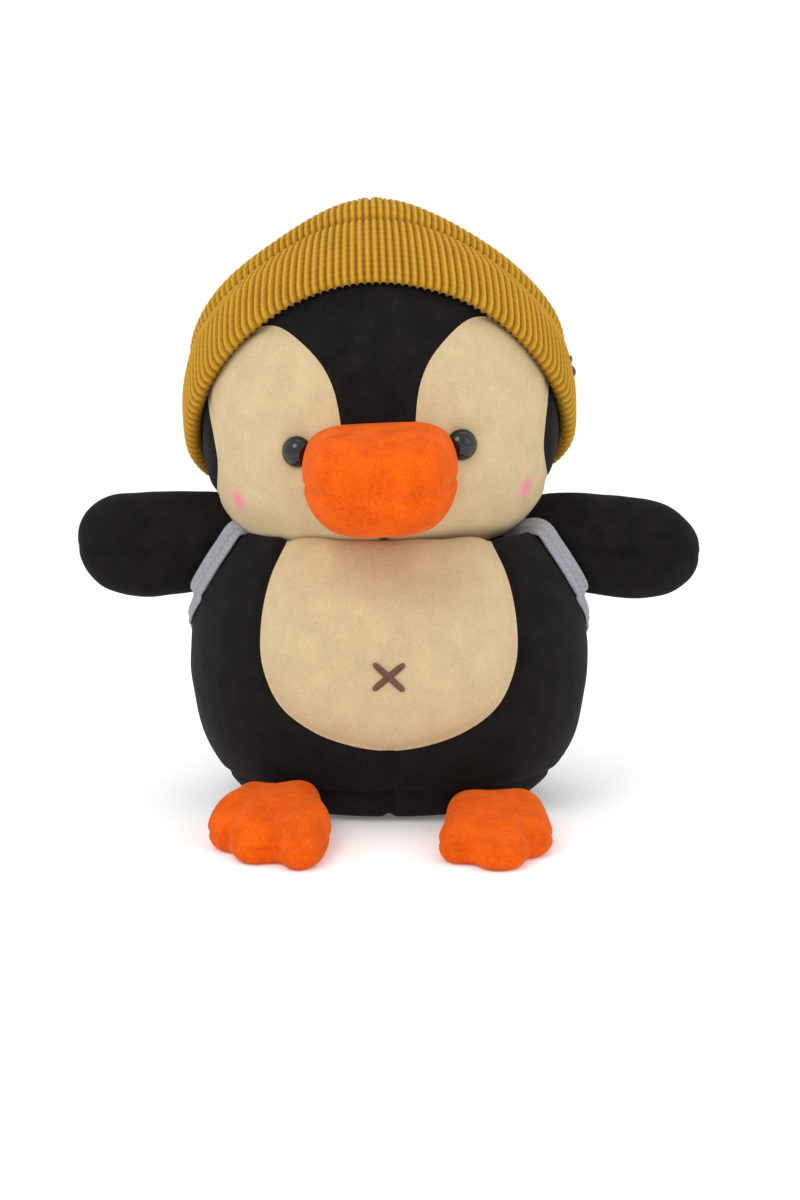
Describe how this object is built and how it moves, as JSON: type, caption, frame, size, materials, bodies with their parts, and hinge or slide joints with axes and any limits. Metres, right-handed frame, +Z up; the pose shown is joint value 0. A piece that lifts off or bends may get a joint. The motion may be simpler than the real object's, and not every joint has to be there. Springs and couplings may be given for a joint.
{
  "type": "plush penguin",
  "caption": "Sitting stuffed penguin with round head, padded beak, side flippers and flat feet, wearing a ribbed knit hat and a small strap-on bag.",
  "frame": {"origin": "on the table, at the middle of the flat base", "axes": "+Z up, -Y the way the penguin faces, +X the penguin's own left"},
  "size_m": [0.254, 0.2192, 0.2416],
  "materials": {
    "black_plush": "short-pile plush",
    "brown_thread": "satin-stitch embroidery",
    "cream_plush": "short-pile plush",
    "eye_plastic": "polished",
    "fibrefill": "polyester fibre filling",
    "grey_elastic": "cross-ribbed flat elastic",
    "grey_felt": "felted cloth with top stitching",
    "mustard_knit": "one-by-one rib knit",
    "orange_plush": "short-pile plush",
    "pouch_cloth": "plain woven pouch of plastic pellets",
    "slate_thread": "satin-stitch embroidery",
    "snap_plastic": "moulded",
    "washer_plastic": "moulded"
  },
  "bodies": {
    "torso": {"belly_patch": "cream_plush", "belly_stitch": "brown_thread", "pellet_pouch": "pouch_cloth", "strap_left": "grey_elastic", "strap_right": "grey_elastic", "torso_back_left": "black_plush", "torso_back_right": "black_plush", "torso_base": "black_plush", "torso_front_left": "black_plush", "torso_front_right": "black_plush", "torso_stuffing": "fibrefill", "bag_back": "grey_felt", "bag_pouch": "grey_felt"},
    "neck": {"neck_stuffing": "fibrefill"},
    "head": {"beak_lower": "orange_plush", "beak_stuffing": "fibrefill", "beak_upper": "orange_plush", "eye_left": "eye_plastic", "eye_right": "eye_plastic", "eye_washer_left": "washer_plastic", "eye_washer_right": "washer_plastic", "face_patch_left": "cream_plush", "face_patch_right": "cream_plush", "head_centre": "black_plush", "head_side_left": "black_plush", "head_side_right": "black_plush", "head_stuffing": "fibrefill"},
    "hat": {"hat_crown": "mustard_knit", "hat_cuff": "mustard_knit", "hat_mark": "slate_thread"},
    "flipper_left": {"flipper_left_lower": "black_plush", "flipper_left_stuffing": "fibrefill", "flipper_left_upper": "black_plush"},
    "flipper_right": {"flipper_right_lower": "black_plush", "flipper_right_stuffing": "fibrefill", "flipper_right_upper": "black_plush"},
    "foot_left": {"foot_left_sole": "orange_plush", "foot_left_stuffing": "fibrefill", "foot_left_upper": "orange_plush"},
    "foot_right": {"foot_right_sole": "orange_plush", "foot_right_stuffing": "fibrefill", "foot_right_upper": "orange_plush"},
    "bag_flap": {"bag_flap": "grey_felt", "bag_snap": "snap_plastic"}
  },
  "joints": [
    {"name": "head_turn", "type": "hinge", "parent": "torso", "child": "neck", "pos_m": [-0.0015, 0, 0.101], "axis": [-0.0436, 0, 0.999], "range_deg": [-15, 15], "stiffness_Nm_per_rad": 0.3},
    {"name": "head_nod", "type": "hinge", "parent": "neck", "child": "head", "pos_m": [-0.0015, 0, 0.101], "axis": [0.999, 0, 0.0436], "range_deg": [-4, 4], "stiffness_Nm_per_rad": 3},
    {"name": "hat_lift", "type": "slide", "parent": "head", "child": "hat", "axis": [-0.0404, 0.3746, 0.9263], "range_m": [0, 0.11]},
    {"name": "flipper_left_raise", "type": "hinge", "parent": "torso", "child": "flipper_left", "pos_m": [0.072, 0, 0.105], "axis": [0, -1, 0], "range_deg": [-12, 30], "stiffness_Nm_per_rad": 0.15},
    {"name": "flipper_right_raise", "type": "hinge", "parent": "torso", "child": "flipper_right", "pos_m": [-0.072, 0, 0.105], "axis": [0, 1, 0], "range_deg": [-12, 30], "stiffness_Nm_per_rad": 0.15},
    {"name": "foot_left_lift", "type": "hinge", "parent": "torso", "child": "foot_left", "pos_m": [0.041, -0.054, 0.0085], "axis": [-1, 0, 0], "range_deg": [0, 40], "stiffness_Nm_per_rad": 0.1},
    {"name": "foot_right_lift", "type": "hinge", "parent": "torso", "child": "foot_right", "pos_m": [-0.041, -0.054, 0.0085], "axis": [-0.9848, 0.1736, 0], "range_deg": [0, 40], "stiffness_Nm_per_rad": 0.1},
    {"name": "bag_flap_open", "type": "hinge", "parent": "torso", "child": "bag_flap", "pos_m": [0, 0.066, 0.0813], "axis": [1, 0, 0], "range_deg": [0, 80]}
  ]
}
